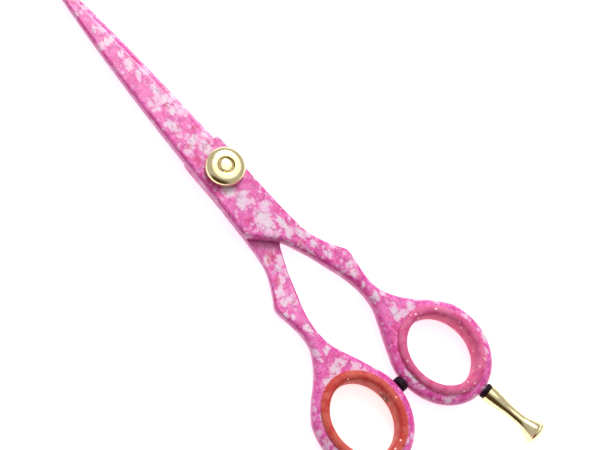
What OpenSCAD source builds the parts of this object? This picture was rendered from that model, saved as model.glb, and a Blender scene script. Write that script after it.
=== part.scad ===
// Hair cutting shears: six inch, opposed handles, dial tension screw and screw-in finger rest.
// The closed shears lie flat. +Y runs along them to the tips, +Z points up on the dial side,
// and the origin is on the pivot axis in the plane that they rest on.

/* [Blades and handles] */
// Distance from the pivot axis to the tips
blade_reach = 72; // [68:1:78]
// Thickness of each half at the pivot
half_t = 3; // [2.8:0.1:3.2]
// Thickness of each blade at its tip
tip_t = 1.3; // [1:0.1:1.6]
// Height of the metal finger rings
ring_h = 4.6; // [4:0.1:5]
// Gap left between the two inner faces
ride_gap = 0.04; // [0.02:0.01:0.06]

/* [Finger rings] */
// Half of the width of each lined finger opening
opening_a = 7.7; // [7.2:0.1:8]
// Half of the length of each lined finger opening
opening_b = 9.3; // [8.8:0.1:9.6]
// Height of the soft ring inserts
insert_h = 7.2; // [6.8:0.1:7.2]
// Lean of each ring away from the centre line, in degrees
ring_lean = 5; // [3:1:6]

/* [Pivot] */
// Diameter of the tension dial
dial_d = 9.8; // [9:0.1:10.4]
// Height of the tension dial
dial_h = 2.65; // [2.4:0.05:3]
// Diameter of the bolt's head
bolt_head_d = 8; // [7.4:0.1:8.6]
// Diameter of the bolt's plain shank
shank_d = 5; // [4.6:0.1:5]
// Diameter of the bolt's threaded end
thread_d = 4; // [3.6:0.1:4]

/* [Finger rest] */
// Length of the finger rest
rest_len = 16.4; // [14:0.2:20]
// Diameter of the finger rest's flared end
rest_flare_d = 6.3; // [5:0.1:6.4]
// Angle of the finger rest from the centre line, in degrees
rest_angle = 10; // [6:1:12]

/* [Hidden] */
$fn = 64;

// Colours of the materials
paint_pink = [0.93, 0.45, 0.72];
finger_silicone = [0.80, 0.30, 0.45];
thumb_silicone = [0.82, 0.32, 0.28];
pale_gold = [0.93, 0.86, 0.62];
spring_steel = [0.75, 0.75, 0.77];
white_nylon = [0.93, 0.93, 0.90];
black_rubber = [0.06, 0.04, 0.07];

// The inner faces meet in this plane, which is the mid height of the rings and inserts
mid_z = 3.6;
// The centre line of the handles runs beside the pivot axis
centre_x = -0.7;
face_z = ride_gap / 2;

// Blade plan, measured from the centre line
heel_y = 8;
edge_heel = 4.8;
edge_tip = 0.25;
edge_bulge = 0.65;
spine_heel = 5.4;
spine_tip = 0.3;
spine_bulge = 0.8;
edge_land = 0.15;
bevel_slope = 1.08;
blade_root_y = 3;
arc_steps = 12;

// Finger rings
ring_u = 12.9;
ring_y = -67.2;
ring_a = 12.1;
ring_b = 14;
hole_a = 9.4;
hole_b = 11.3;
ring_steps = 72;
ring_start = 28;
ring_sweep = 238;

// Soft inserts
insert_gap = 0.02;
lip_overlap = 0.5;
lip_round = 0.4;

// Pivot stack, as heights above the resting plane
head_h = 1;
head_washer_t = 0.3;
washer_gap = 0.02;
bore_play = 0.03;
dial_play = 0.05;
bushing_d = 6.4;
glide_d = 8.6;
glide_t = 0.3;
flat_half = 2.1;
top_z = mid_z + half_t;
under_z = mid_z - half_t;
click_t = 0.25;
click_d = 7.6;
spring_t = 0.35;
spring_d = 6.8;
spring_bore_d = 5.4;
key_top_z = top_z + click_t;
dial_z = key_top_z + dial_play;
cavity_d = 7.3;
cavity_h = 0.45;
recess_d = 4.3;
recess_h = 0.9;
dial_crown = 2.2;
dial_fall = 1.3;
button_h = 0.55;
head_chamfer = 0.25;

// Bumper between the rings
bumper_y = -66.85;
bumper_d = 3.8;
bumper_stem_d = 2;
bumper_stem_len = 2.6;
ring_side = 0.785;
bumper_t = 2 * ring_side - ride_gap;

// Finger rest, measured from the centre of the finger ring
rest_start = 14.02;
rest_washer_t = 1.1;
rest_washer_d = 3.9;
rest_base_d = 4.3;
rest_neck_d = 2.75;
rest_dome = 1.5;
stud_d = 2.5;
stud_start = 11.5;
stud_end = rest_start + rest_washer_t + 4.2;

// Point at parameter t on the smooth curve between p1 and p2
function curve_point(p0, p1, p2, p3, t) =
    0.5 * (2 * p1 + (p2 - p0) * t + (2 * p0 - 5 * p1 + 4 * p2 - p3) * t * t
    + (3 * p1 - p0 - 3 * p2 + p3) * t * t * t);

// Smooth curve through the points, with n steps between neighbours
function smooth_path(pts, n) =
    let (last = len(pts) - 1)
    [for (i = [0:last - 1], k = [0:n - 1])
        curve_point(pts[max(i - 1, 0)], pts[i], pts[i + 1], pts[min(i + 2, last)], k / n),
     pts[last]];

// Radius of the arc whose chord and bulge are given
function arc_radius(chord, bulge) = (chord * chord / 4 + bulge * bulge) / (2 * bulge);

// Centre of the arc from p to q that bulges to the right of the way from p to q
function arc_centre(p, q, bulge) =
    let (d = q - p, chord = norm(d), r = arc_radius(chord, bulge), n = [-d.y, d.x] / chord)
    (p + q) / 2 + n * (r - bulge);

// Points along that arc
function arc_path(p, q, bulge, n) =
    let (c = arc_centre(p, q, bulge), r = norm(p - c),
         a = atan2(p.y - c.y, p.x - c.x), b = atan2(q.y - c.y, q.x - c.x))
    [for (k = [0:n]) let (w = a + (b - a) * k / n) c + r * [cos(w), sin(w)]];

// Point on an ellipse that leans with the finger ring
function ring_point(a, b, angle) =
    let (x = a * cos(angle), y = b * sin(angle))
    [ring_u + x * cos(ring_lean) - y * sin(ring_lean),
     ring_y + x * sin(ring_lean) + y * cos(ring_lean)];

// Whole ellipse of that kind
function ring_ellipse(a, b) =
    [for (k = [0:ring_steps - 1]) ring_point(a, b, 360 * k / ring_steps)];

edge_line = arc_path([edge_heel, heel_y], [edge_tip, blade_reach], edge_bulge, arc_steps);
spine_line = arc_path([-spine_tip, blade_reach], [-spine_heel, heel_y], spine_bulge, arc_steps);

// Outer side of the handle, from the shoulder beside the heel to the ring
outer_side = smooth_path([
    [5.1, 7.2], [5.3, 5], [5.3, -3], [5.5, -10], [5.9, -18], [6.6, -24], [8.1, -28],
    [10.2, -31.6], [11.5, -33.6], [11.7, -35.4], [11.3, -38.5], [10.95, -42.5],
    [11.5, -46.3], [13.6, -50], [16.4, -53.2], [19.2, -55.7], [21.5, -58]
], 4);

// Inner side of the handle, from the ring to the crotch and up to the spine
inner_side = smooth_path([
    [2.1, -60.6], [4.0, -56], [5.7, -52.3], [7, -49], [7.45, -45.5], [7.2, -42],
    [6.3, -38], [4.9, -34], [3.2, -29.2], [1.6, -25.5], [0.2, -22.6], [-2.2, -20],
    [-4.9, -17.4], [-6.1, -15.9], [-6.35, -14], [-6, -8], [-5.6, 0], [-5.42, heel_y]
], 4);

ring_side_path = [for (k = [0:ring_steps / 2])
    ring_point(ring_a, ring_b, ring_start - ring_sweep * k / (ring_steps / 2))];

// Heights of the inner face and the outer face along the half, as [y, z] pairs
inner_heights = smooth_path([
    [-24, face_z], [-29, -0.25], [-37, -1.1], [-46, -1.95], [-54, -ring_h / 2]
], 4);
outer_heights = smooth_path([
    [-56, ring_h / 2], [-46, 2.55], [-34, 2.88], [-22, half_t]
], 4);
ring_end_y = -84;

// Plan of the handle with its tang and the solid ring
module handle_plan() {
    polygon(concat([[4.7, heel_y]], outer_side, ring_side_path, inner_side));
}

// Plan of the blade, carried a little way into the tang
module blade_plan() {
    polygon(concat(edge_line, spine_line, [[-spine_heel, blade_root_y], [edge_heel, blade_root_y]]));
}

// Space between the inner face and the outer face, seen from the side
module side_profile() {
    rotate([90, 0, 90])
        linear_extrude(60, center = true)
            polygon(concat(
                [[ring_end_y, -ring_h / 2], [ring_end_y, ring_h / 2]],
                outer_heights,
                [[heel_y, half_t - 0.1], [blade_reach + 1, tip_t], [blade_reach + 1, face_z]],
                inner_heights
            ));
}

// Cone whose flank is the bevel that ends in the cutting edge
module bevel_cone() {
    root = edge_line[0];
    tip = edge_line[arc_steps];
    c = arc_centre(root, tip, edge_bulge);
    r = norm(root - c);
    translate([c.x, c.y, face_z + edge_land])
        cylinder(h = half_t, r1 = r, r2 = r - half_t / bevel_slope, $fn = 720);
    translate([c.x, c.y, 0])
        cylinder(h = face_z + edge_land, r = r, $fn = 720);
}

// One half without its bores: the halves are the same forging turned over
module half_blank() {
    difference() {
        intersection() {
            union() {
                linear_extrude(4 * ring_h, center = true)
                    handle_plan();
                intersection() {
                    linear_extrude(ring_h)
                        blade_plan();
                    bevel_cone();
                }
            }
            side_profile();
        }
        linear_extrude(2 * ring_h, center = true)
            polygon(ring_ellipse(hole_a, hole_b));
    }
}

// Round bar with two flats, used for the bolt's key and its hole
module keyed_bar(d, half_width, h) {
    intersection() {
        cylinder(h = h, d = d);
        translate([-d, -half_width, -1])
            cube([2 * d, 2 * half_width, h + 2]);
    }
}

// Moves a child from the finger ring's centre line to the ray of the finger rest
module on_rest_axis() {
    c = [centre_x + ring_u, ring_y, mid_z];
    translate(c)
        rotate([0, 0, rest_angle])
            rotate([90, 0, 0])
                children();
}

module finger_half() {
    color(paint_pink)
        difference() {
            translate([centre_x, 0, mid_z])
                half_blank();
            translate([0, 0, mid_z - 1])
                keyed_bar(shank_d + 2 * bore_play, flat_half + bore_play, half_t + 2);
            on_rest_axis()
                translate([0, 0, hole_b - 2])
                    cylinder(h = ring_b - hole_b + 4, d = stud_d + 2 * bore_play);
        }
}

module thumb_half() {
    color(paint_pink)
        difference() {
            translate([centre_x, 0, mid_z])
                rotate([0, 180, 0])
                    half_blank();
            translate([0, 0, under_z - 1])
                cylinder(h = half_t + 2, d = bushing_d);
            translate([0, 0, under_z - 1])
                cylinder(h = 1 + head_h + head_washer_t - under_z, d = bolt_head_d + 0.3);
            translate([0, 0, mid_z - face_z - glide_t])
                cylinder(h = glide_t + 1, d = glide_d + 0.1);
            translate([centre_x - ring_side - 5, bumper_y, mid_z])
                rotate([0, 90, 0])
                    cylinder(h = 6, d = bumper_stem_d + 0.04);
        }
}

// One slice of an insert: out and in are added to the hole and opening half-axes
module insert_slice(z0, z1, out, in) {
    translate([0, 0, z0])
        linear_extrude(z1 - z0)
            difference() {
                polygon(ring_ellipse(hole_a + out, hole_b + out));
                polygon(ring_ellipse(opening_a + in, opening_b + in));
            }
}

// Soft ring with a lip over each face of the metal ring, about its mid height
module ring_insert() {
    edge_z = insert_h / 2;
    lip_z = ring_h / 2 + insert_gap;
    insert_slice(-lip_z, lip_z, -insert_gap, 0);
    for (side = [0, 1])
        mirror([0, 0, side]) {
            insert_slice(lip_z, edge_z - lip_round, lip_overlap, 0);
            insert_slice(edge_z - lip_round, edge_z, lip_overlap - lip_round, lip_round);
        }
}

module finger_ring_insert() {
    color(finger_silicone)
        translate([centre_x, 0, mid_z])
            ring_insert();
}

module thumb_ring_insert() {
    color(thumb_silicone)
        translate([centre_x, 0, mid_z])
            rotate([0, 180, 0])
                ring_insert();
}

// Bolt whose flat head is the lowest face and whose domed end shows in the dial
module pivot_bolt() {
    head_r = bolt_head_d / 2;
    end_z = dial_z + dial_h - button_h;
    color(pale_gold) {
        rotate_extrude()
            polygon([
                [0, 0], [head_r - head_chamfer, 0], [head_r, head_chamfer],
                [head_r, head_h], [0, head_h]
            ]);
        translate([0, 0, head_h])
            cylinder(h = mid_z - head_h, d = shank_d);
        translate([0, 0, mid_z])
            keyed_bar(shank_d, flat_half, key_top_z - mid_z);
        translate([0, 0, key_top_z])
            cylinder(h = end_z - key_top_z, d = thread_d);
        rotate_extrude()
            intersection() {
                translate([0, end_z])
                    scale(thread_d / 2)
                        polygon([[0, 0], for (k = [0:8]) [cos(k * 11.25), 0.3 * sin(k * 11.25)]]);
                square([thread_d, 2 * top_z]);
            }
    }
}

// Flat ring between two heights
module flat_ring(z, h, outer_d, inner_d) {
    translate([0, 0, z])
        difference() {
            cylinder(h = h, d = outer_d);
            translate([0, 0, -1])
                cylinder(h = h + 2, d = inner_d);
        }
}

module pivot_bushing() {
    low_z = head_h + head_washer_t;
    color(white_nylon)
        flat_ring(low_z, mid_z - face_z - low_z, bushing_d, shank_d + 2 * bore_play);
}

module head_washer() {
    color(white_nylon)
        flat_ring(head_h + washer_gap, head_washer_t - washer_gap, bolt_head_d, shank_d + 0.2);
}

module glide_washer() {
    color(white_nylon)
        flat_ring(mid_z - face_z - glide_t, glide_t, glide_d, bushing_d + 0.1);
}

// Thin plate with radial clicks, held on the bolt's flats
module click_plate() {
    click_count = 12;
    click_ring_d = 6.4;
    color(spring_steel)
        difference() {
            translate([0, 0, top_z])
                cylinder(h = click_t, d = click_d);
            translate([0, 0, top_z - 1])
                keyed_bar(shank_d + 2 * bore_play, flat_half + bore_play, click_t + 2);
            for (k = [0:click_count - 1])
                rotate([0, 0, 360 * k / click_count])
                    translate([click_ring_d / 2, 0, top_z - 1])
                        cylinder(h = 3, d = 0.6, $fn = 24);
        }
}

module wave_spring() {
    color(spring_steel)
        flat_ring(key_top_z, spring_t, spring_d, spring_bore_d);
}

// Dial nut with a crowned shoulder, a recess for the bolt's end and a cavity for the spring
module tension_dial() {
    r = dial_d / 2;
    bore_r = thread_d / 2 + dial_play;
    shoulder = [for (k = [0:6]) let (w = 15 * k)
        [r - dial_crown + dial_crown * cos(w), dial_h - dial_fall + dial_fall * sin(w)]];
    color(pale_gold)
        translate([0, 0, dial_z])
            rotate_extrude()
                polygon(concat(
                    [[cavity_d / 2, 0], [r - 0.15, 0], [r, 0.15]],
                    shoulder,
                    [[recess_d / 2, dial_h], [recess_d / 2 - 0.05, dial_h - recess_h],
                     [bore_r, dial_h - recess_h], [bore_r, cavity_h], [cavity_d / 2, cavity_h]]
                ));
}

// Rubber stop: a disc between the rings and a stem in the thumb ring
module bumper() {
    r = bumper_d / 2;
    round_r = 0.35;
    color(black_rubber)
        translate([centre_x - ring_side, bumper_y, mid_z])
            rotate([0, 90, 0])
                rotate_extrude()
                    polygon([
                        [0, -bumper_stem_len], [bumper_stem_d / 2, -bumper_stem_len],
                        [bumper_stem_d / 2, 0], [r, 0], [r, bumper_t - round_r],
                        [r - round_r, bumper_t], [0, bumper_t]
                    ]);
}

module rest_washer() {
    color(black_rubber)
        on_rest_axis()
            flat_ring(rest_start, rest_washer_t, rest_washer_d, stud_d + 0.1);
}

// Waisted rest: its side is a smooth curve from the base through the neck to the flare
module finger_rest() {
    base_z = rest_start + rest_washer_t;
    side = smooth_path([
        [rest_base_d / 2, 0], [rest_base_d / 2 - 0.15, rest_len * 0.16],
        [rest_neck_d / 2 + 0.1, rest_len * 0.38], [rest_neck_d / 2, rest_len * 0.52],
        [rest_neck_d / 2 + 0.2, rest_len * 0.68], [rest_flare_d / 2 - 0.55, rest_len * 0.86],
        [rest_flare_d / 2, rest_len - rest_dome]
    ], 4);
    dome = [for (k = [1:6]) let (w = 15 * k)
        [rest_flare_d / 2 * cos(w), rest_len - rest_dome + rest_dome * sin(w)]];
    color(pale_gold)
        on_rest_axis()
            translate([0, 0, base_z])
                difference() {
                    rotate_extrude()
                        polygon(concat([[0, 0]], side, dome));
                    translate([0, 0, -1])
                        cylinder(h = 1 + stud_end - base_z, d = stud_d);
                }
}

module rest_stud() {
    color(spring_steel)
        on_rest_axis()
            translate([0, 0, stud_start])
                cylinder(h = stud_end - stud_start, d = stud_d);
}

finger_half();
thumb_half();
finger_ring_insert();
thumb_ring_insert();
pivot_bolt();
pivot_bushing();
head_washer();
glide_washer();
click_plate();
wave_spring();
tension_dial();
bumper();
rest_washer();
finger_rest();
rest_stud();
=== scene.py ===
"""Hair cutting shears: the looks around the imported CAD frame.

Shapes are worked out in millimetres in the row frame (+Y to the tips, +Z up on the dial side,
origin on the pivot axis in the resting plane) and written to meshes in metres.
"""
import math

import bpy
import numpy as np
from mathutils import Matrix, Vector
from mathutils.geometry import delaunay_2d_cdt

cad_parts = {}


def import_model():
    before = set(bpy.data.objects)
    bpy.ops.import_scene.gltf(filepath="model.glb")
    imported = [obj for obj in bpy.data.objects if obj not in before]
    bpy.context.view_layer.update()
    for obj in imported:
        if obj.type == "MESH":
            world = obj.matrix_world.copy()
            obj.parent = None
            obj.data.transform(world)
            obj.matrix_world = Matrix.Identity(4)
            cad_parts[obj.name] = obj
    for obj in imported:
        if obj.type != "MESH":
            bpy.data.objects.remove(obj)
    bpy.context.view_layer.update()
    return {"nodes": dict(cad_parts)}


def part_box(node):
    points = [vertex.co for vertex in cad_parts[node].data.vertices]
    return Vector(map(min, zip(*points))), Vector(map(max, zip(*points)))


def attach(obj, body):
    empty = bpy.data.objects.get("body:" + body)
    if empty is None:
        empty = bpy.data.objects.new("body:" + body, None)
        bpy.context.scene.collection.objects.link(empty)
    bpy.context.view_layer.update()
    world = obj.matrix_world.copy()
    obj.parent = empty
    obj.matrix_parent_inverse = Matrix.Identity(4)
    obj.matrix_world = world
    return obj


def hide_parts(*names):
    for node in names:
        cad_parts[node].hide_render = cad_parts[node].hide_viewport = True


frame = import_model()

MM = 0.001


# ---------------------------------------------------------------- places from the frame

def box_mm(node):
    low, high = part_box(node)
    return np.array(low) / MM, np.array(high) / MM


_, half_high = box_mm("finger_half")
insert_low, insert_high = box_mm("finger_ring_insert")
dial_low, dial_high = box_mm("tension_dial")
bolt_low, bolt_high = box_mm("pivot_bolt")
spring_low, spring_high = box_mm("wave_spring")
click_low, click_high = box_mm("click_plate")
washer_low, washer_high = box_mm("head_washer")
glide_low, glide_high = box_mm("glide_washer")

MID_Z = (insert_low[2] + insert_high[2]) / 2
INSERT_HALF_H = (insert_high[2] - insert_low[2]) / 2
TOP_Z = click_low[2]
HALF_T = TOP_Z - MID_Z
FACE_Z = MID_Z - glide_high[2]
TIP_Y = half_high[1]
DIAL_R = (dial_high[0] - dial_low[0]) / 2
HEAD_R = (bolt_high[0] - bolt_low[0]) / 2

# Driving sizes that repeat part.scad, in millimetres from the handles' centre line
CENTRE_X = -0.7
HEEL_Y = 8.0
EDGE_HEEL, EDGE_TIP, EDGE_BULGE = 4.8, 0.25, 0.65
SPINE_HEEL, SPINE_TIP, SPINE_BULGE = 5.4, 0.3, 0.8
TIP_T = 1.3
RING_U, RING_Y, RING_A, RING_B, RING_LEAN = 12.9, -67.2, 12.1, 14.0, 5.0
HOLE_A, HOLE_B, OPENING_A, OPENING_B = 9.4, 11.3, 7.7, 9.3
RING_H = 4.6
RING_START, RING_SWEEP = 28.0, 238.0
RING_SIDE = 0.785
SHANK_R, THREAD_R = 2.5, 2.0
BUMPER_Y, BUMPER_R, BUMPER_STEM_R, BUMPER_STEM = -66.85, 1.9, 1.0, 2.6
REST_ANGLE, REST_START, REST_WASHER_T, REST_WASHER_R = 10.0, 14.02, 1.1, 1.95
REST_LEN, REST_BASE_R, REST_NECK_R, REST_FLARE_R, REST_DOME = 16.4, 2.15, 1.375, 3.15, 1.5
STUD_R, STUD_START, STUD_DEPTH = 1.25, 11.5, 4.2
DIAL_CROWN, DIAL_FALL = 2.2, 1.3
CAVITY_R, CAVITY_H, RECESS_R, RECESS_H = 3.65, 0.45, 2.15, 0.9
BORE_PLAY = 0.05
SPRING_BORE_R, SPRING_HALF_T, SPRING_WAVES = 2.7, 0.09, 3
DOME_H = 0.6
THREAD_DEPTH, BOLT_PITCH, STUD_PITCH = 0.2, 0.5, 0.45

OUTER_SIDE = [
    (5.1, 7.2), (5.3, 5), (5.3, -3), (5.5, -10), (5.9, -18), (6.6, -24), (8.1, -28),
    (10.2, -31.6), (11.5, -33.6), (11.7, -35.4), (11.3, -38.5), (10.95, -42.5),
    (11.5, -46.3), (13.6, -50), (16.4, -53.2), (19.2, -55.7), (21.5, -58),
]
INNER_SIDE = [
    (2.1, -60.6), (4.0, -56), (5.7, -52.3), (7, -49), (7.45, -45.5), (7.2, -42),
    (6.3, -38), (4.9, -34), (3.2, -29.2), (1.6, -25.5), (0.2, -22.6), (-2.2, -20),
    (-4.9, -17.4), (-6.1, -15.9), (-6.35, -14), (-6, -8), (-5.6, 0), (-5.42, HEEL_Y),
]
INNER_HEIGHTS = [(-54, -RING_H / 2), (-46, -1.95), (-37, -1.1), (-29, -0.25), (-24, FACE_Z)]
OUTER_HEIGHTS = [(-56, RING_H / 2), (-46, 2.55), (-34, 2.88), (-22, HALF_T),
                 (HEEL_Y, HALF_T - 0.1), (TIP_Y + 1, TIP_T)]


# ---------------------------------------------------------------- curves

def smooth_path(points, steps):
    """Catmull-Rom curve through the points."""
    p = np.array(points, float)
    padded = np.vstack([p[:1], p, p[-1:]])
    out = []
    for p0, p1, p2, p3 in zip(padded, padded[1:], padded[2:], padded[3:]):
        for t in np.arange(steps) / steps:
            out.append(0.5 * (2 * p1 + (p2 - p0) * t + (2 * p0 - 5 * p1 + 4 * p2 - p3) * t ** 2
                              + (3 * p1 - p0 - 3 * p2 + p3) * t ** 3))
    return np.array(out + [p[-1]])


def arc_path(p, q, bulge, steps):
    """Arc from p to q that bulges to the right of the way from p to q."""
    p, q = np.array(p, float), np.array(q, float)
    chord = np.linalg.norm(q - p)
    radius = (chord ** 2 / 4 + bulge ** 2) / (2 * bulge)
    normal = np.array([-(q - p)[1], (q - p)[0]]) / chord
    centre = (p + q) / 2 + normal * (radius - bulge)
    a, b = (math.atan2(*(end - centre)[::-1]) for end in (p, q))
    w = np.linspace(a, b, steps + 1)
    return centre + radius * np.stack([np.cos(w), np.sin(w)], 1)


def ring_point(a, b, degrees):
    """Point on an ellipse that leans with the finger ring."""
    w = np.radians(degrees)
    x, y = a * np.cos(w), b * np.sin(w)
    c, s = math.cos(math.radians(RING_LEAN)), math.sin(math.radians(RING_LEAN))
    return np.stack([RING_U + x * c - y * s, RING_Y + x * s + y * c], -1)


def resample(loop, step):
    """Points along a closed loop at nearly equal steps, corners kept."""
    ends = np.vstack([loop, loop[:1]])
    out = []
    for a, b in zip(ends, ends[1:]):
        n = max(1, int(round(np.linalg.norm(b - a) / step)))
        out.extend(a + (b - a) * k / n for k in range(n))
    return np.array(out)


def heights(table, y):
    ys, zs = zip(*table)
    return np.interp(y, ys, zs)


# ---------------------------------------------------------------- meshes

def add_mesh(name, verts_mm, faces, materials, body, node=None, face_slots=None, sharp=35):
    """Makes a smooth-shaded object from points in millimetres, riding on a CAD body."""
    mesh = bpy.data.meshes.new(name)
    mesh.from_pydata([tuple(v) for v in np.array(verts_mm) * MM], [], [tuple(f) for f in faces])
    for material in materials:
        mesh.materials.append(material)
    if face_slots is not None:
        mesh.polygons.foreach_set("material_index", np.array(face_slots, np.int32))
    mesh.polygons.foreach_set("use_smooth", np.ones(len(mesh.polygons), bool))
    mesh.set_sharp_from_angle(angle=math.radians(sharp))
    mesh.validate()
    mesh.update()
    obj = bpy.data.objects.new(name, mesh)
    bpy.context.scene.collection.objects.link(obj)
    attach(obj, body)
    if node:
        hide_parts(node)
    return obj


def point_values(obj, name, values):
    """Stores one number at each point of a piece, for its material to read."""
    layer = obj.data.attributes.new(name, "FLOAT", "POINT")
    layer.data.foreach_set("value", np.array(values, np.float32))


def grid_faces(rows, cols, close_rows=False, close_cols=True):
    """Quads over a grid of rows by cols points."""
    faces = []
    for i in range(rows if close_rows else rows - 1):
        for j in range(cols if close_cols else cols - 1):
            a, b = i * cols + j, i * cols + (j + 1) % cols
            c, d = ((i + 1) % rows) * cols + (j + 1) % cols, ((i + 1) % rows) * cols + j
            faces.append((a, b, c, d))
    return faces


def lathe(profile, place, steps=96, twist=None):
    """Solid of revolution from (radius, height) points; end points on the axis become poles.

    place turns local points into the row frame. twist, when given, changes the radius by
    angle and height, which cuts a thread.
    """
    profile = np.array(profile, float)
    w = np.arange(steps) * 2 * math.pi / steps
    rows = profile[1:-1]
    r = np.repeat(rows[:, :1], steps, 1)
    z = np.repeat(rows[:, 1:], steps, 1)
    if twist:
        r = twist(r, z, w[None, :])
    verts = np.stack([r * np.cos(w), r * np.sin(w), z], -1).reshape(-1, 3)
    n = len(verts)
    verts = np.vstack([verts, [0, 0, profile[0, 1]], [0, 0, profile[-1, 1]]])
    faces = grid_faces(len(rows), steps)
    faces += [(n, (k + 1) % steps, k) for k in range(steps)]
    last = (len(rows) - 1) * steps
    faces += [(n + 1, last + k, last + (k + 1) % steps) for k in range(steps)]
    return place(verts), faces


def ring_lathe(profile, place, steps=96, wave=None):
    """Ring of revolution from a closed (radius, height) section."""
    profile = np.array(profile, float)
    w = np.arange(steps) * 2 * math.pi / steps
    r = np.repeat(profile[:, :1], steps, 1)
    z = np.repeat(profile[:, 1:], steps, 1)
    if wave:
        z = z + wave(w[None, :])
    verts = np.stack([r * np.cos(w), r * np.sin(w), z], -1).reshape(-1, 3)
    return place(verts), grid_faces(len(profile), steps, close_rows=True)


def rounded(corners, radii, steps=5):
    """Polyline through (radius, height) corners, each rounded with its own radius."""
    corners = [np.array(c, float) for c in corners]
    out = [corners[0]]
    for a, c, b, r in zip(corners, corners[1:], corners[2:], radii):
        if r <= 0:
            out.append(c)
            continue
        u, v = (a - c) / np.linalg.norm(a - c), (b - c) / np.linalg.norm(b - c)
        half = math.acos(np.clip(u @ v, -1, 1)) / 2
        reach = min(r / math.tan(half), 0.49 * np.linalg.norm(a - c), 0.49 * np.linalg.norm(b - c))
        start, end = c + u * reach, c + v * reach
        for t in np.linspace(0, 1, steps):
            out.append((1 - t) ** 2 * start + 2 * t * (1 - t) * c + t ** 2 * end)
    out.append(corners[-1])
    return out


def upright(verts):
    return verts


def on_rest_axis(verts):
    """Local +Z becomes the finger rest's outward axis, from the finger ring's centre."""
    w = math.radians(REST_ANGLE)
    out = np.array([math.sin(w), -math.cos(w), 0])
    side = np.array([math.cos(w), math.sin(w), 0])
    centre = np.array([CENTRE_X + RING_U, RING_Y, MID_Z])
    return centre + verts[:, :1] * side + verts[:, 1:2] * [0, 0, -1] + verts[:, 2:] * out


def on_bumper_axis(verts):
    """Local +Z becomes +X, from the thumb ring's side."""
    base = np.array([CENTRE_X - RING_SIDE, BUMPER_Y, MID_Z])
    return base + np.stack([verts[:, 2], verts[:, 1], -verts[:, 0]], -1)


# ---------------------------------------------------------------- materials

def srgb(r, g, b):
    """Linear colour from 0-255 display values."""
    def one(c):
        c /= 255
        return c / 12.92 if c <= 0.04045 else ((c + 0.055) / 1.055) ** 2.4
    return (one(r), one(g), one(b), 1.0)


class Nodes:
    """Short calls for building a material's node tree in millimetres of object space."""

    def __init__(self, name):
        self.material = bpy.data.materials.new(name)
        self.material.use_nodes = True
        self.tree = self.material.node_tree
        self.shader = self.tree.nodes["Principled BSDF"]
        coords = self.add("ShaderNodeTexCoord")
        scale = self.add("ShaderNodeVectorMath", operation="SCALE")
        scale.inputs["Scale"].default_value = 1 / MM
        self.link(coords.outputs["Object"], scale.inputs[0])
        self.place = scale.outputs[0]

    def add(self, kind, **settings):
        node = self.tree.nodes.new(kind)
        for key, value in settings.items():
            setattr(node, key, value)
        return node

    def link(self, a, b):
        self.tree.links.new(a, b)

    def set(self, **values):
        for key, value in values.items():
            self.shader.inputs[key.replace("_", " ")].default_value = value

    def _feed(self, socket, value):
        if hasattr(value, "links"):
            self.link(value, socket)
        else:
            socket.default_value = value

    def noise(self, scale, detail=2.0, roughness=0.5, at=None):
        node = self.add("ShaderNodeTexNoise")
        self.link(at or self.place, node.inputs["Vector"])
        node.inputs["Scale"].default_value = scale
        node.inputs["Detail"].default_value = detail
        node.inputs["Roughness"].default_value = roughness
        return node

    def voronoi(self, scale, feature="F1", at=None):
        node = self.add("ShaderNodeTexVoronoi", feature=feature)
        self.link(at or self.place, node.inputs["Vector"])
        node.inputs["Scale"].default_value = scale
        return node

    def warped(self, scale, amount):
        """Place moved about by noise, so that cells lose their straight sides."""
        noise = self.noise(scale, 3.0)
        centred = self.add("ShaderNodeVectorMath", operation="SUBTRACT")
        self.link(noise.outputs["Color"], centred.inputs[0])
        centred.inputs[1].default_value = (0.5, 0.5, 0.5)
        scaled = self.add("ShaderNodeVectorMath", operation="SCALE")
        self.link(centred.outputs[0], scaled.inputs[0])
        scaled.inputs["Scale"].default_value = amount
        moved = self.add("ShaderNodeVectorMath", operation="ADD")
        self.link(self.place, moved.inputs[0])
        self.link(scaled.outputs[0], moved.inputs[1])
        return moved.outputs[0]

    def ramp(self, value, low, high, to_low=0.0, to_high=1.0):
        """Smooth step from low to high."""
        node = self.add("ShaderNodeMapRange", interpolation_type="SMOOTHSTEP")
        self._feed(node.inputs["Value"], value)
        self._feed(node.inputs["From Min"], low)
        self._feed(node.inputs["From Max"], high)
        node.inputs["To Min"].default_value = to_low
        node.inputs["To Max"].default_value = to_high
        return node.outputs["Result"]

    def math(self, operation, a, b=0.0):
        node = self.add("ShaderNodeMath", operation=operation)
        self._feed(node.inputs[0], a)
        self._feed(node.inputs[1], b)
        return node.outputs[0]

    def mix(self, factor, a, b):
        node = self.add("ShaderNodeMix", data_type="RGBA")
        self._feed(node.inputs["Factor"], factor)
        self._feed(node.inputs["A"], a)
        self._feed(node.inputs["B"], b)
        return node.outputs["Result"]

    def separate(self, vector):
        node = self.add("ShaderNodeSeparateXYZ")
        self.link(vector, node.inputs[0])
        return node.outputs

    def bump(self, height, strength, distance_mm):
        node = self.add("ShaderNodeBump")
        node.inputs["Strength"].default_value = strength
        node.inputs["Distance"].default_value = distance_mm * MM
        self.link(height, node.inputs["Height"])
        self.link(node.outputs["Normal"], self.shader.inputs["Normal"])


# The thumb half's inner face has no splashes and is plain magenta from here towards the pivot:
# where the other half covers it this is plain paint, and in the band just below the finger half's
# crotch it is painted shade for that half's shadow
OVERLAP_AND_SHADE_Y = -22.9

# The widest pale area, on the middle of the tang: centre, half-widths along and across, lean
TANG_SPLASH = (0.0, -2 * HEEL_Y, 3.2, 2.0, 75.0)
SPLASH_SEEDS = {"finger": 3, "thumb": 8}


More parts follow.
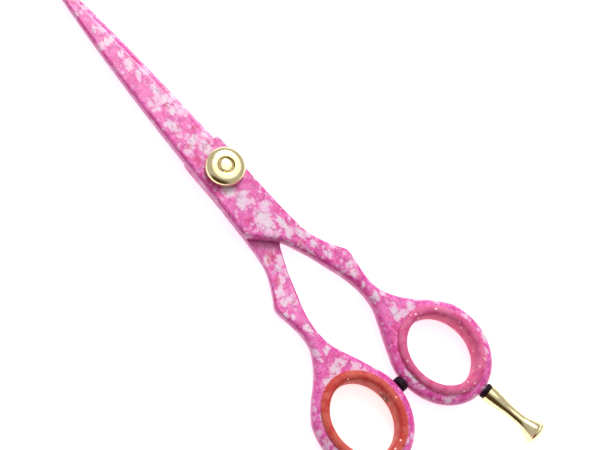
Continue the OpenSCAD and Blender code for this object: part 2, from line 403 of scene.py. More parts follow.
def half_sides(y):
    """A half's inner and outer side at y, from the handles' centre line."""
    if y > HEEL_Y:
        share = (y - HEEL_Y) / (TIP_Y - HEEL_Y)
        return (-SPINE_HEEL + share * (SPINE_HEEL - SPINE_TIP),
                EDGE_HEEL + share * (EDGE_TIP - EDGE_HEEL))
    outer = np.array(OUTER_SIDE)[::-1]
    inner = np.array(INNER_SIDE)
    return np.interp(y, inner[:, 1], inner[:, 0]), np.interp(y, outer[:, 1], outer[:, 0])


def scattered_splashes(half):
    """Pale splashes along a half, at uneven steps and as large as its width allows."""
    rng = np.random.default_rng(SPLASH_SEEDS[half])
    turn = -1 if half == "thumb" else 1
    splashes = [(CENTRE_X + turn * TANG_SPLASH[0],) + TANG_SPLASH[1:]]
    y = RING_Y + RING_B / 2
    while y < 0.8 * TIP_Y:
        inner, outer = half_sides(y)
        width = min(outer - inner, 2 * EDGE_HEEL)
        x = (inner + outer) / 2 + rng.uniform(-0.28, 0.28) * width
        along, across = rng.uniform(0.16, 0.30) * width, rng.uniform(0.09, 0.16) * width
        splashes.append((CENTRE_X + turn * x, y, along, across, rng.uniform(20, 110)))
        y += rng.uniform(3.2, 6.5)
    return splashes


def splash_strength(half, places):
    """How deep each point lies in a pale splash, from 0 outside to 1 at its centre."""
    strength = np.zeros(len(places))
    for x, y, along, across, lean in scattered_splashes(half):
        c, k = math.cos(math.radians(lean)), math.sin(math.radians(lean))
        dx, dy = places[:, 0] - x, places[:, 1] - y
        u, v = (dx * c + dy * k) / along, (dy * c - dx * k) / across
        strength = np.maximum(strength, np.clip(1.5 - np.hypot(u, v), 0, 1))
    return strength


def marbled_paint():
    """Glossy pink paint with feathered pale splashes, thin plum outlines and crimson pools, and
    painted shade on the edges, the side walls and the thumb half below the crotch.
    """
    n = Nodes("marbled_pink_paint")
    warp = n.warped(0.42, 3.0)
    fine_warp = n.warped(1.3, 1.0)
    hot, rose, light = srgb(224, 66, 158), srgb(238, 104, 184), srgb(242, 148, 204)
    pale, lilac = srgb(240, 192, 221), srgb(231, 213, 225)
    plum, crimson = srgb(178, 58, 142), srgb(208, 34, 112)
    streaks = n.add("ShaderNodeMapping")
    n.link(fine_warp, streaks.inputs["Vector"])
    streaks.inputs["Rotation"].default_value = (0, 0, math.radians(20))
    streaks.inputs["Scale"].default_value = (1.6, 0.45, 1.0)
    streak = n.noise(1.0, 5.0, 0.65, at=streaks.outputs[0]).outputs["Fac"]
    speckle = n.noise(1.5, 5.0, 0.7, at=fine_warp).outputs["Fac"]
    colour = n.mix(n.ramp(n.noise(0.45, 3.0).outputs["Fac"], 0.40, 0.58), hot, rose)
    colour = n.mix(n.ramp(speckle, 0.50, 0.66), colour, light)
    # Pale blots: cells of the warped pattern, broken up by streaks
    cells = n.voronoi(0.34, "F1", at=warp)
    pick = n.separate(cells.outputs["Color"])
    torn = n.math("ADD", cells.outputs["Distance"], n.ramp(streak, 0.3, 0.7, -0.14, 0.14))
    blot = n.math("MULTIPLY", n.ramp(torn, 0.52, 0.36), n.ramp(pick[0], 0.40, 0.52))
    colour = n.mix(n.math("MULTIPLY", blot, 0.85), colour, pale)
    core = n.math("MULTIPLY", n.ramp(torn, 0.34, 0.18), n.ramp(pick[0], 0.52, 0.62))
    colour = n.mix(n.math("MULTIPLY", core, 0.75), colour, lilac)
    flecks = n.voronoi(0.75, "F1", at=fine_warp)
    fleck = n.math("MULTIPLY", n.ramp(flecks.outputs["Distance"], 0.44, 0.26),
                   n.ramp(n.separate(flecks.outputs["Color"])[2], 0.60, 0.72))
    colour = n.mix(n.math("MULTIPLY", fleck, 0.65), colour, pale)
    # Scattered splashes, streaked inside
    splash = n.add("ShaderNodeAttribute", attribute_name="splash")
    ragged = n.math("ADD", splash.outputs["Fac"], n.ramp(streak, 0.3, 0.7, -0.42, 0.42))
    colour = n.mix(n.math("MULTIPLY", n.ramp(ragged, 0.34, 0.52), 0.85), colour, pale)
    colour = n.mix(n.math("MULTIPLY", n.ramp(ragged, 0.60, 0.90), 0.75), colour, lilac)
    # Plain magenta on the thumb half's inner face: plain paint under the finger half, painted shade
    # in the band below its crotch
    overlap_and_shade_attribute = n.add("ShaderNodeAttribute", attribute_name="overlap_and_shade")
    colour = n.mix(n.math("MULTIPLY", overlap_and_shade_attribute.outputs["Fac"], 0.85), colour, srgb(214, 84, 160))
    # Outlines and pools
    edge = n.voronoi(0.34, "DISTANCE_TO_EDGE", at=warp)
    line = n.math("MULTIPLY", n.ramp(edge.outputs["Distance"], 0.085, 0.02),
                  n.ramp(n.noise(0.6, 2.0).outputs["Fac"], 0.42, 0.56))
    colour = n.mix(n.math("MULTIPLY", line, 0.55), colour, plum)
    fine_edge = n.voronoi(0.75, "DISTANCE_TO_EDGE", at=fine_warp)
    fine_line = n.math("MULTIPLY", n.ramp(fine_edge.outputs["Distance"], 0.10, 0.02),
                       n.ramp(speckle, 0.50, 0.62))
    colour = n.mix(n.math("MULTIPLY", fine_line, 0.40), colour, plum)
    pool = n.ramp(n.noise(0.36, 4.0, 0.65, at=warp).outputs["Fac"], 0.57, 0.66)
    colour = n.mix(n.math("MULTIPLY", pool, 0.75), colour, crimson)
    # Painted shade: darker magenta along the outline and over the side walls, which turn away from
    # the light
    rim = n.add("ShaderNodeAttribute", attribute_name="rim")
    side = n.math("MULTIPLY", n.ramp(rim.outputs["Fac"], 0.25, 0.95),
                  n.ramp(n.noise(0.7, 3.0).outputs["Fac"], 0.3, 0.6, 0.5, 1.0))
    colour = n.mix(n.math("MULTIPLY", side, 0.72), colour, srgb(190, 62, 140))
    n.link(colour, n.shader.inputs["Base Color"])
    n.link(n.ramp(speckle, 0.3, 0.8, 0.26, 0.40), n.shader.inputs["Roughness"])
    n.set(Coat_Weight=0.22, Coat_Roughness=0.12, Specular_IOR_Level=0.35)
    n.bump(n.noise(0.9, 3.0).outputs["Fac"], 0.25, 0.06)
    return n.material


def ground_steel():
    """Satin steel of the inner faces, ground across the blade."""
    n = Nodes("ground_steel")
    lines = n.add("ShaderNodeMapping")
    n.link(n.place, lines.inputs["Vector"])
    lines.inputs["Scale"].default_value = (0.4, 9.0, 0.4)
    grind = n.noise(1.5, 4.0, 0.6, at=lines.outputs[0])
    n.link(n.mix(grind.outputs["Fac"], srgb(196, 192, 200), srgb(232, 230, 234)),
           n.shader.inputs["Base Color"])
    n.link(n.ramp(grind.outputs["Fac"], 0.3, 0.7, 0.16, 0.32), n.shader.inputs["Roughness"])
    n.set(Metallic=1.0)
    n.bump(grind.outputs["Fac"], 0.15, 0.02)
    return n.material


def polished_gold():
    """Pale gold plating with faint polishing marks and handling haze."""
    n = Nodes("polished_pale_gold")
    haze = n.noise(0.7, 3.0, 0.6)
    n.link(n.mix(n.ramp(haze.outputs["Fac"], 0.35, 0.7), srgb(248, 234, 188), srgb(240, 220, 164)),
           n.shader.inputs["Base Color"])
    marks = n.noise(9.0, 5.0, 0.7)
    n.link(n.ramp(marks.outputs["Fac"], 0.35, 0.8, 0.15, 0.27), n.shader.inputs["Roughness"])
    n.set(Metallic=1.0)
    n.bump(marks.outputs["Fac"], 0.06, 0.01)
    return n.material


def glitter_silicone(name, deep, light):
    """Clear coloured silicone with silver glitter."""
    n = Nodes(name)
    cloud = n.noise(0.5, 2.0)
    colour = n.mix(n.ramp(cloud.outputs["Fac"], 0.3, 0.7), deep, light)
    stem = n.add("ShaderNodeAttribute", attribute_name="stem")
    colour = n.mix(n.ramp(stem.outputs["Fac"], 0.20, 0.62, 0.0, 0.85), colour, srgb(96, 20, 32))
    flakes = n.voronoi(0.85, "F1")
    chosen = n.separate(flakes.outputs["Color"])
    flake = n.math("MULTIPLY",
                   n.ramp(flakes.outputs["Distance"], 0.24, 0.16),
                   n.math("GREATER_THAN", chosen[0], 0.74))
    colour = n.mix(flake, colour, srgb(250, 216, 206))
    n.link(colour, n.shader.inputs["Base Color"])
    n.link(n.math("MULTIPLY", flake, 0.35), n.shader.inputs["Metallic"])
    n.link(n.ramp(n.noise(3.0, 3.0).outputs["Fac"], 0.3, 0.7, 0.40, 0.52),
           n.shader.inputs["Roughness"])
    n.set(Subsurface_Weight=0.10, Subsurface_Scale=0.0012, IOR=1.41,
          Specular_IOR_Level=0.15)
    n.bump(n.noise(0.8, 2.0).outputs["Fac"], 0.2, 0.08)
    return n.material


def black_rubber():
    """Dark rubber with a fine matt grain."""
    n = Nodes("black_rubber")
    grain = n.noise(6.0, 4.0, 0.6)
    n.link(n.mix(grain.outputs["Fac"], srgb(22, 6, 18), srgb(46, 18, 38)),
           n.shader.inputs["Base Color"])
    n.link(n.ramp(grain.outputs["Fac"], 0.3, 0.7, 0.42, 0.62), n.shader.inputs["Roughness"])
    n.set(Specular_IOR_Level=0.12)
    n.bump(grain.outputs["Fac"], 0.3, 0.03)
    return n.material


def white_nylon():
    """Milky nylon of the washers and the bushing."""
    n = Nodes("white_nylon")
    grain = n.noise(3.0, 3.0)
    n.link(n.mix(grain.outputs["Fac"], srgb(226, 224, 216), srgb(244, 243, 238)),
           n.shader.inputs["Base Color"])
    n.link(n.ramp(grain.outputs["Fac"], 0.3, 0.7, 0.40, 0.55), n.shader.inputs["Roughness"])
    n.bump(grain.outputs["Fac"], 0.15, 0.02)
    return n.material


def pale_floor():
    """Plain white studio floor that glows a little, so that it stays pale."""
    n = Nodes("pale_floor")
    grain = n.noise(0.05, 3.0)
    n.link(n.mix(grain.outputs["Fac"], (0.93, 0.93, 0.93, 1), (0.95, 0.95, 0.95, 1)),
           n.shader.inputs["Base Color"])
    n.set(Roughness=0.75, Emission_Color=(1, 1, 1, 1), Emission_Strength=0.68)
    return n.material


PAINT = marbled_paint()
STEEL = ground_steel()
GOLD = polished_gold()
FINGER_SILICONE = glitter_silicone("finger_silicone", srgb(212, 82, 136), srgb(226, 118, 160))
THUMB_SILICONE = glitter_silicone("thumb_silicone", srgb(200, 66, 62), srgb(214, 106, 92))
RUBBER = black_rubber()
NYLON = white_nylon()


# ---------------------------------------------------------------- the two halves

EDGE_LINE = arc_path((EDGE_HEEL, HEEL_Y), (EDGE_TIP, TIP_Y), EDGE_BULGE, 40)
SPINE_LINE = arc_path((-SPINE_TIP, TIP_Y), (-SPINE_HEEL, HEEL_Y), SPINE_BULGE, 40)
RING_PATH = ring_point(RING_A, RING_B, RING_START - np.linspace(0, RING_SWEEP, 90))
OUTLINE = np.vstack([
    EDGE_LINE[::-1], smooth_path(OUTER_SIDE, 8), RING_PATH[1:], smooth_path(INNER_SIDE, 8)[:-1],
    SPINE_LINE[::-1][:-1],
])
HOLE = ring_point(HOLE_A, HOLE_B, np.arange(0, 360, 3.0))

PLAN_STEP = 0.33
OFFSETS = [0.02, 0.07, 0.15, 0.28, 0.46, 0.7, 1.0, 1.35, 1.75]


def distance_to(points, line, closed=True):
    """Distance from each point to a polyline."""
    a = line
    b = np.roll(line, -1, 0) if closed else line[1:]
    a = a if closed else line[:-1]
    ab = b - a
    best = np.full(len(points), 1e9)
    for start in range(0, len(points), 2000):
        p = points[start:start + 2000, None, :]
        t = np.clip(((p - a) * ab).sum(-1) / (ab ** 2).sum(-1), 0, 1)
        d = np.linalg.norm(p - (a + t[..., None] * ab), axis=-1)
        best[start:start + 2000] = d.min(1)
    return best


def inside(points, loop):
    """Even-odd test of points against a closed loop."""
    x, y = points[:, 0], points[:, 1]
    hit = np.zeros(len(points), bool)
    for (x0, y0), (x1, y1) in zip(loop, np.roll(loop, -1, 0)):
        if y0 == y1:
            continue
        crosses = (y0 > y) != (y1 > y)
        hit ^= crosses & (x < (x1 - x0) * (y - y0) / (y1 - y0) + x0)
    return hit


def offset_points(loop, distance, inward):
    """Loop moved sideways by distance, to the side where inward is 1 or -1."""
    along = np.roll(loop, -1, 0) - np.roll(loop, 1, 0)
    along /= np.linalg.norm(along, axis=1)[:, None]
    return loop + inward * distance * np.stack([-along[:, 1], along[:, 0]], 1)


def loop_side(loop):
    """1 when the inside of the loop lies to its left, else -1."""
    nxt = np.roll(loop, -1, 0)
    return 1 if (loop[:, 0] * nxt[:, 1] - nxt[:, 0] * loop[:, 1]).sum() > 0 else -1


def circle(centre, radius, steps):
    w = np.arange(steps) * 2 * math.pi / steps
    return np.array(centre) + radius * np.stack([np.cos(w), np.sin(w)], 1)


def plan_mesh(pivot_u, bore_r, rim_r):
    """Triangles over the half's plan, with rows of points that follow its edges.

    Returns points, triangles and the loops of point numbers round the outline and the holes.
    """
    outline = resample(OUTLINE, PLAN_STEP)
    hole = resample(HOLE, PLAN_STEP)
    bore = circle((pivot_u, 0), bore_r, 64)
    loops = [(outline, loop_side(outline)), (hole, -loop_side(hole)), (bore, -loop_side(bore))]
    rows = []
    for loop, side in loops[:2]:
        for d in OFFSETS:
            row = offset_points(loop, d, side)
            keep = np.minimum(distance_to(row, outline), distance_to(row, hole)) > 0.93 * d
            rows.append(row[keep])
    rows.append(circle((pivot_u, 0), rim_r - 0.02, 72))
    rows.append(circle((pivot_u, 0), rim_r + 0.02, 72))
    low, high = outline.min(0), outline.max(0)
    xs = np.arange(low[0], high[0], PLAN_STEP * 1.15)
    ys = np.arange(low[1], high[1], PLAN_STEP)
    grid = np.array([(x + (k % 2) * PLAN_STEP / 2, y) for k, y in enumerate(ys) for x in xs])
    grid = grid[inside(grid, outline)]
    clear = np.minimum(distance_to(grid, outline), distance_to(grid, hole))
    grid = grid[clear > OFFSETS[-1] + 0.2]
    from_pivot = np.abs(np.linalg.norm(grid - (pivot_u, 0), axis=1) - rim_r)
    grid = grid[from_pivot > 0.25]
    counts = [len(loop) for loop, _ in loops]
    points = np.vstack([loop for loop, _ in loops] + rows + [grid])
    edges, starts = [], np.cumsum([0] + counts)
    for start, count in zip(starts, counts):
        edges += [(start + k, start + (k + 1) % count) for k in range(count)]
    result = delaunay_2d_cdt([Vector(p) for p in points], edges, [], 0, 1e-5, True)
    flat = np.array([tuple(v) for v in result[0]])
    triangles = np.array([tuple(t) for t in result[2]])
    centres = flat[triangles].mean(1)
    solid = inside(centres, outline) & ~inside(centres, hole)
    solid &= np.linalg.norm(centres - (pivot_u, 0), axis=1) > bore_r * 0.999
    where = {}
    for new, originals in enumerate(result[3]):
        for old in originals:
            where[old] = new
    rims = [[where[start + k] for k in range(count)] for start, count in zip(starts, counts)]
    return flat, triangles[solid], rims


def drop(distance, radius):
    """How far a rounded edge of that radius falls below the face at a distance from the side."""
    t = np.clip(distance / radius, 0, 1)
    return radius * (1 - np.sqrt(np.clip(1 - (1 - t) ** 2, 0, 1)))


def half_surfaces(flat, pivot_u, counterbore):
    """Outer and inner heights over the plan, from the plane where the blades meet."""
    y = flat[:, 1]
    to_side = distance_to(flat, resample(OUTLINE, 0.5))
    to_hole = distance_to(flat, HOLE)
    to_edge = distance_to(flat, EDGE_LINE, closed=False)
    outer = heights(OUTER_HEIGHTS, y)
    inner = heights(INNER_HEIGHTS, y)
    # Outer face: rounded sides, rounder towards the ring
    outer_r = np.interp(y, [-60, -48, -30, -20, 4, 20, TIP_Y], [2.2, 1.9, 1.5, 1.1, 0.9, 0.8, 0.35])
    thin = np.minimum(outer_r, 0.9 * outer)
    blade = y > HEEL_Y - 0.3
    side_drop = drop(to_side, thin)
    hole_drop = drop(to_hole, 0.35)
    bevel = np.interp(y, [HEEL_Y, 50, TIP_Y], [2.5, 1.9, 0.5])
    edge_t = np.clip(to_edge / bevel, 0, 1)
    edge_drop = (outer - 0.10) * (1 - np.sin(edge_t * math.pi / 2)) * blade
    near_edge = blade & (to_edge <= to_side + 1e-6)
    outer = outer - np.maximum(np.where(near_edge, 0, side_drop), np.maximum(edge_drop, hole_drop))
    # Inner face: flat tang, hollow ground blade, rounded towards the ring
    inner_r = np.interp(y, [-60, -48, -34, -26, -24], [2.2, 1.7, 0.7, 0.15, 0.02])
    inner = inner + np.where(y < -23.5, drop(to_side, inner_r), 0) + hole_drop * (y < -40)
    hollow = 0.16 * np.clip((y - HEEL_Y - 2) / 6, 0, 1) * np.clip((to_side - 0.45) / 0.9, 0, 1)
    inner = inner + hollow * np.clip((TIP_Y - 4 - y) / 12, 0, 1)
    from_pivot = np.linalg.norm(flat - (pivot_u, 0), axis=1)
    outer = np.where(from_pivot < counterbore[0], counterbore[1], outer)
    return np.maximum(outer, inner + 0.03), inner, to_edge


def half_piece(name, node, body, turned, bore_r, counterbore):
    """One painted half: outer and inner faces over one plan, joined by side walls."""
    pivot_u = CENTRE_X if turned else -CENTRE_X
    flat, triangles, rims = plan_mesh(pivot_u, bore_r, counterbore[0])
    outer, inner, to_edge = half_surfaces(flat, pivot_u, counterbore)
    n = len(flat)
    verts = np.vstack([np.column_stack([flat, outer]), np.column_stack([flat, inner])])
    ccw = np.cross(flat[triangles[:, 1]] - flat[triangles[:, 0]],
                   flat[triangles[:, 2]] - flat[triangles[:, 0]]) > 0
    up = np.where(ccw[:, None], triangles, triangles[:, ::-1])
    faces = [tuple(t) for t in up] + [tuple(t[::-1] + n) for t in up]
    centre = flat[triangles].mean(1)
    bare = (centre[:, 1] > -13) & (inner[triangles].mean(1) < 0.3)
    thin_edge = (to_edge[triangles].mean(1) < 0.30) & (centre[:, 1] > HEEL_Y + 1)
    slots = list(thin_edge.astype(int)) + list(bare.astype(int))
    for rim in rims:
        along = list(zip(rim, rim[1:] + rim[:1]))
        middle = len(verts)
        verts = np.vstack([verts, [(*flat[k], (outer[k] + inner[k]) / 2) for k in rim]])
        forward = loop_side(flat[rim]) == 1
        if rim is not rims[0]:
            forward = not forward
        for k, (a, b) in enumerate(along):
            c, d = middle + k, middle + (k + 1) % len(rim)
            for quad in ((a, c, d, b), (c, a + n, b + n, d)):
                faces.append(quad if forward else quad[::-1])
                slots.append(0)
    if turned:
        verts = verts * [-1, 1, -1]
    verts = verts + [CENTRE_X, 0, MID_Z]
    obj = add_mesh(name, verts, faces, [PAINT, STEEL], body, node,
                   face_slots=slots, sharp=38)
    # How much painted shade each point gets near the outline, full on the side walls; the pale
    # splashes also fade out there
    to_side = distance_to(flat, resample(OUTLINE, 0.5))
    near = np.clip(1 - to_side / 0.9, 0, 1)
    edge_shade_amount = np.concatenate([near, near, np.ones(len(verts) - 2 * n)])
    point_values(obj, "rim", edge_shade_amount)
    # Painted shade in the band below the finger half's crotch, and plain paint where that half
    # covers the thumb half's inner face
    overlap_and_shade = np.clip((verts[:, 1] - OVERLAP_AND_SHADE_Y) / 0.8, 0, 1) * turned
    overlap_and_shade[:n] = 0
    overlap_and_shade[2 * n:] = 0
    point_values(obj, "overlap_and_shade", overlap_and_shade)
    half = "thumb" if turned else "finger"
    point_values(obj, "splash", splash_strength(half, verts) * (1 - edge_shade_amount))
    return obj


BORE_R = SHANK_R + 0.03
finger_half = half_piece("finger_half_painted", "finger_half", "finger_side", False, BORE_R,
                         (BORE_R + 0.3, HALF_T))
thumb_half = half_piece("thumb_half_painted", "thumb_half", "thumb_side", True,
                        (glide_high[0] - glide_low[0]) / 2 - 1.1,
                        (HEAD_R + 0.15, MID_Z - washer_high[2]))


# ---------------------------------------------------------------- soft ring inserts

# Section of an insert: share of the wall from the opening to the metal hole, and height as a
# share of half the insert's height
INSERT_SECTION = [
    (1.0, 0.0), (1.0, 0.645), (1.24, 0.650), (1.27, 0.70), (1.25, 0.80), (1.15, 0.90),
    (0.98, 0.965), (0.75, 1.0), (0.50, 0.99), (0.28, 0.94), (0.13, 0.84), (0.04, 0.68),
    (0.0, 0.45), (-0.02, 0.2),
]


def ring_insert(name, node, body, material, turned):
    """Soft liner of one ring, with lips that overlap the metal on both faces."""
    section = INSERT_SECTION + [(-0.02, 0.0)] + [(s, -z) for s, z in INSERT_SECTION[:0:-1]]
    angles = np.arange(0, 360, 2.0)
    rows = []
    for s, z in section:
        a, b = OPENING_A + s * (HOLE_A - OPENING_A), OPENING_B + s * (HOLE_B - OPENING_B)
        ring = ring_point(a, b, angles)
        rows.append(np.column_stack([ring, np.full(len(angles), z * INSERT_HALF_H)]))
    verts = np.vstack(rows)
    faces = grid_faces(len(section), len(angles), close_rows=True)
    if turned:
        verts = verts * [-1, 1, -1]
    verts = verts + [CENTRE_X, 0, MID_Z]
    obj = add_mesh(name, verts, faces, [material], body, node, sharp=60)
    stem_end = np.array([CENTRE_X - RING_SIDE - BUMPER_STEM, BUMPER_Y, MID_Z])
    near_stem = np.clip(1.25 - np.linalg.norm(verts - stem_end, axis=1) / 2.9, 0, 1)
    point_values(obj, "stem", near_stem * turned)
    return obj


ring_insert("finger_ring_liner", "finger_ring_insert", "finger_side", FINGER_SILICONE,
            False)
ring_insert("thumb_ring_liner", "thumb_ring_insert", "thumb_side", THUMB_SILICONE,
            True)


# ---------------------------------------------------------------- pivot

def thread_cut(start, end, radius, depth, pitch):
    """Radius change that cuts a thread between two heights."""
    def twist(r, z, w):
        phase = (z / pitch - w / (2 * math.pi)) % 1.0
        ridge = 1 - np.abs(2 * phase - 1)
        fade = np.clip((z - start) / 0.3, 0, 1) * np.clip((end - z) / 0.3, 0, 1)
        on_thread = np.abs(r - radius) < 0.02
        return r - depth * (1 - ridge) * fade * on_thread
    return twist


def pivot_bolt():
    """Bolt with a flat head below, a threaded end and a domed top."""
    thread_z = click_high[2]
    end_z = bolt_high[2] - DOME_H
    head_h = washer_low[2] - 0.02
    thread_rows = [(THREAD_R, z) for z in np.arange(thread_z, end_z - 0.1, 0.07)]
    dome = [(THREAD_R * math.cos(w) ** 0.7, end_z + DOME_H * math.sin(w))
            for w in np.radians(np.arange(0, 90, 5))]
    foot = rounded([(0, 0), (HEAD_R, 0), (HEAD_R, head_h), (SHANK_R, head_h), (SHANK_R, thread_z)],
                   [0.3, 0.12, 0.05])
    profile = foot[:-1] + [(SHANK_R, thread_z)] + thread_rows + [(THREAD_R - 0.02, end_z - 0.05)]
    profile += dome[1:] + [(0, end_z + DOME_H)]
    twist = thread_cut(thread_z, end_z - 0.1, THREAD_R, THREAD_DEPTH, BOLT_PITCH)
    verts, faces = lathe(profile, upright, 96, twist)
    add_mesh("pivot_bolt_gold", verts, faces, [GOLD], "finger_side", "pivot_bolt")


def tension_dial():
    """Crowned nut with a recess for the bolt's end above and a cavity for the spring below."""
    h = dial_high[2] - dial_low[2]
    bore = THREAD_R + BORE_PLAY
    floor_z = h - RECESS_H
    underside = rounded([(bore, CAVITY_H), (CAVITY_R, CAVITY_H), (CAVITY_R, 0), (DIAL_R, 0),
                         (DIAL_R, h - DIAL_FALL)], [0.03, 0.03, 0.18], 6)
    shoulder = [(DIAL_R - DIAL_CROWN + DIAL_CROWN * math.cos(w),
                 h - DIAL_FALL + DIAL_FALL * math.sin(w))
                for w in np.radians(np.arange(4, 91, 4))]
    inside_wall = rounded([(DIAL_R - DIAL_CROWN, h), (RECESS_R, h), (RECESS_R - 0.05, floor_z),
                           (bore, floor_z), (bore, CAVITY_H)], [0.10, 0.02, 0.02], 6)
    section = list(underside) + shoulder + list(inside_wall)[:-1]
    verts, faces = ring_lathe(section, lambda v: v + [0, 0, dial_low[2]], 160)
    add_mesh("tension_dial_gold", verts, faces, [GOLD], "dial", "tension_dial",
             sharp=50)


def wave_spring():
    """Thin waved ring under the dial."""
    low, high = spring_low[2], spring_high[2]
    outer_r = (spring_high[0] - spring_low[0]) / 2
    mid, amplitude = (low + high) / 2, (high - low) / 2 - SPRING_HALF_T
    below, above = mid - SPRING_HALF_T, mid + SPRING_HALF_T
    section = [(SPRING_BORE_R, below), (outer_r, below), (outer_r, above), (SPRING_BORE_R, above)]
    verts, faces = ring_lathe(section, upright, 120,
                              lambda w: amplitude * np.sin(SPRING_WAVES * w))
    add_mesh("wave_spring_steel", verts, faces, [STEEL], "finger_side",
             "wave_spring")


pivot_bolt()
tension_dial()
wave_spring()


# ---------------------------------------------------------------- bumper and finger rest

def bumper():
    """Rubber stop between the rings, with its stem in the thumb ring."""
    t = 2 * RING_SIDE - 0.04
    profile = rounded([(0, -BUMPER_STEM), (BUMPER_STEM_R, -BUMPER_STEM), (BUMPER_STEM_R, 0),
                       (BUMPER_R, 0), (BUMPER_R, t), (0, t)], [0.2, 0.02, 0.25, 0.45])
    verts, faces = lathe(profile, on_bumper_axis, 64)
    add_mesh("bumper_rubber", verts, faces, [RUBBER], "thumb_side", "bumper")


def rest_washer():
    """Rubber ring between the finger ring and the rest."""
    low, high = REST_START, REST_START + REST_WASHER_T
    section = rounded([(STUD_R + 0.05, low), (REST_WASHER_R, low), (REST_WASHER_R, high),
                       (STUD_R + 0.05, high), (STUD_R + 0.05, low)], [0.35, 0.35, 0.05])[:-1]
    verts, faces = ring_lathe(section, on_rest_axis, 64)
    add_mesh("rest_washer_rubber", verts, faces, [RUBBER], "rest_ring",
             "rest_washer")


def finger_rest():
    """Turned rest with a narrow waist and a flared, domed end."""
    base = REST_START + REST_WASHER_T
    side = smooth_path([
        (REST_BASE_R, 0), (REST_BASE_R - 0.15, REST_LEN * 0.16),
        (REST_NECK_R + 0.1, REST_LEN * 0.38), (REST_NECK_R, REST_LEN * 0.52),
        (REST_NECK_R + 0.2, REST_LEN * 0.68), (REST_FLARE_R - 0.55, REST_LEN * 0.86),
        (REST_FLARE_R, REST_LEN - REST_DOME),
    ], 8)
    dome = [(REST_FLARE_R * math.cos(w), REST_LEN - REST_DOME + REST_DOME * math.sin(w))
            for w in np.radians(np.arange(8, 90, 8))]
    profile = [(0, 0), (REST_BASE_R - 0.12, 0), (REST_BASE_R - 0.02, 0.06)]
    profile += [(r, z) for r, z in side[1:]] + dome + [(0, REST_LEN)]
    verts, faces = lathe([(r, z + base) for r, z in profile], on_rest_axis, 128)
    add_mesh("finger_rest_gold", verts, faces, [GOLD], "rest", "finger_rest",
             sharp=50)


def rest_stud():
    """Threaded stud that joins the rest to the finger ring."""
    end = REST_START + REST_WASHER_T + STUD_DEPTH
    rows = [(STUD_R, z) for z in np.arange(STUD_START + 0.15, end - 0.1, 0.06)]
    profile = [(0, STUD_START), (STUD_R - 0.2, STUD_START)] + rows + [(STUD_R - 0.2, end), (0, end)]
    twist = thread_cut(STUD_START, end, STUD_R, THREAD_DEPTH, STUD_PITCH)
    verts, faces = lathe(profile, on_rest_axis, 48, twist)
    add_mesh("rest_stud_steel", verts, faces, [STEEL], "rest", "rest_stud")


bumper()
rest_washer()
finger_rest()
rest_stud()

for node, material in (("pivot_bushing", NYLON), ("head_washer", NYLON), ("glide_washer", NYLON),
                       ("click_plate", STEEL)):
    for place in frame["nodes"][node].material_slots:
        place.material = material


# ---------------------------------------------------------------- floor, light and camera

def floor():
    size, z = 600.0, -0.15
    verts = [(-size, -size, z), (size, -size, z), (size, size, z), (-size, size, z)]
    mesh = bpy.data.meshes.new("floor")
    mesh.from_pydata([tuple(np.array(v) * MM) for v in verts], [], [(0, 1, 2, 3)])
    mesh.materials.append(pale_floor())
    obj = bpy.data.objects.new("floor", mesh)
    bpy.context.scene.collection.objects.link(obj)


def direction(azimuth, elevation):
    """Unit vector from the object towards a camera or light at that view angle."""
    a, e = math.radians(azimuth), math.radians(elevation)
    return Vector((math.sin(a) * math.cos(e), -math.cos(a) * math.cos(e), math.sin(e)))


def softbox(name, azimuth, elevation, distance, size, watts):
    light = bpy.data.lights.new(name, "AREA")
    light.shape = "DISK"
    light.size = size
    light.energy = watts
    obj = bpy.data.objects.new(name, light)
    bpy.context.scene.collection.objects.link(obj)
    out = direction(azimuth, elevation)
    obj.location = out * distance + Vector((0, -0.02, 0))
    obj.rotation_euler = out.to_track_quat("Z", "Y").to_euler()


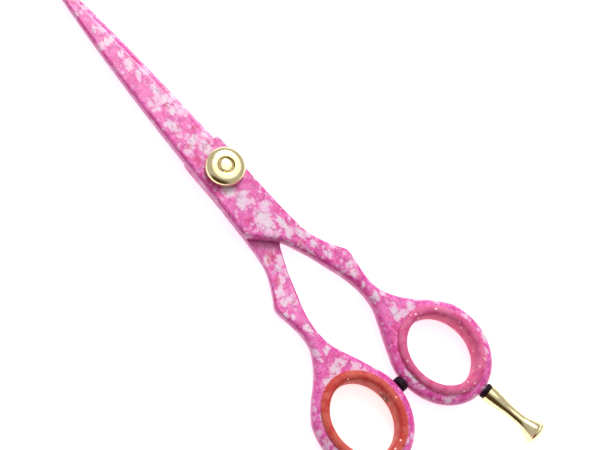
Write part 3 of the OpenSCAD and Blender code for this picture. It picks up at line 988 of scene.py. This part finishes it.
def world():
    """Even white room light with one dark warm card low on the camera's side."""
    w = bpy.data.worlds.new("studio")
    bpy.context.scene.world = w
    w.use_nodes = True
    tree = w.node_tree
    back = tree.nodes["Background"]
    coords = tree.nodes.new("ShaderNodeTexCoord")
    toward = tree.nodes.new("ShaderNodeVectorMath")
    toward.operation = "DOT_PRODUCT"
    toward.inputs[1].default_value = direction(CARD_AZIMUTH, CARD_ELEVATION)
    card = tree.nodes.new("ShaderNodeMapRange")
    card.interpolation_type = "SMOOTHSTEP"
    card.inputs["From Min"].default_value = math.cos(math.radians(CARD_SPREAD + CARD_FADE))
    card.inputs["From Max"].default_value = math.cos(math.radians(CARD_SPREAD))
    colour = tree.nodes.new("ShaderNodeMix")
    colour.data_type = "RGBA"
    colour.inputs["A"].default_value = (ROOM_LIGHT, ROOM_LIGHT, ROOM_LIGHT, 1)
    colour.inputs["B"].default_value = CARD_COLOUR
    tree.links.new(coords.outputs["Generated"], toward.inputs[0])
    tree.links.new(toward.outputs["Value"], card.inputs["Value"])
    tree.links.new(card.outputs["Result"], colour.inputs["Factor"])
    tree.links.new(colour.outputs["Result"], back.inputs["Color"])


CAMERA_AZIMUTH, CAMERA_ELEVATION, CAMERA_ROLL = -74.77, 70.0, 35.0
CARD_AZIMUTH, CARD_ELEVATION, CARD_SPREAD, CARD_FADE = -62.0, 26.0, 27.0, 22.0
ROOM_LIGHT = 0.52
CARD_COLOUR = (0.075, 0.042, 0.014, 1)
CAMERA_DISTANCE = 0.4057
CAMERA_AIM = Vector((0.0063, -0.0219, 0.0036))


def camera():
    """Camera at the photograph's viewing angle, rolled as the photograph is."""
    data = bpy.data.cameras.new("camera")
    data.lens = 100
    data.sensor_width = 36
    data.clip_start = 0.01
    obj = bpy.data.objects.new("camera", data)
    bpy.context.scene.collection.objects.link(obj)
    out = direction(CAMERA_AZIMUTH, CAMERA_ELEVATION)
    obj.location = CAMERA_AIM + out * CAMERA_DISTANCE
    turn = out.to_track_quat("Z", "Y")
    roll = turn.to_matrix().to_4x4() @ Matrix.Rotation(math.radians(CAMERA_ROLL), 4, "Z")
    obj.rotation_euler = roll.to_euler()
    bpy.context.scene.camera = obj


bpy.context.scene.view_settings.view_transform = "Standard"
floor()
world()
softbox("key_softbox", 132, 52, 0.9, 0.30, 4.3)
softbox("overhead_softbox", 105, 70, 1.0, 0.9, 1.9)
camera()
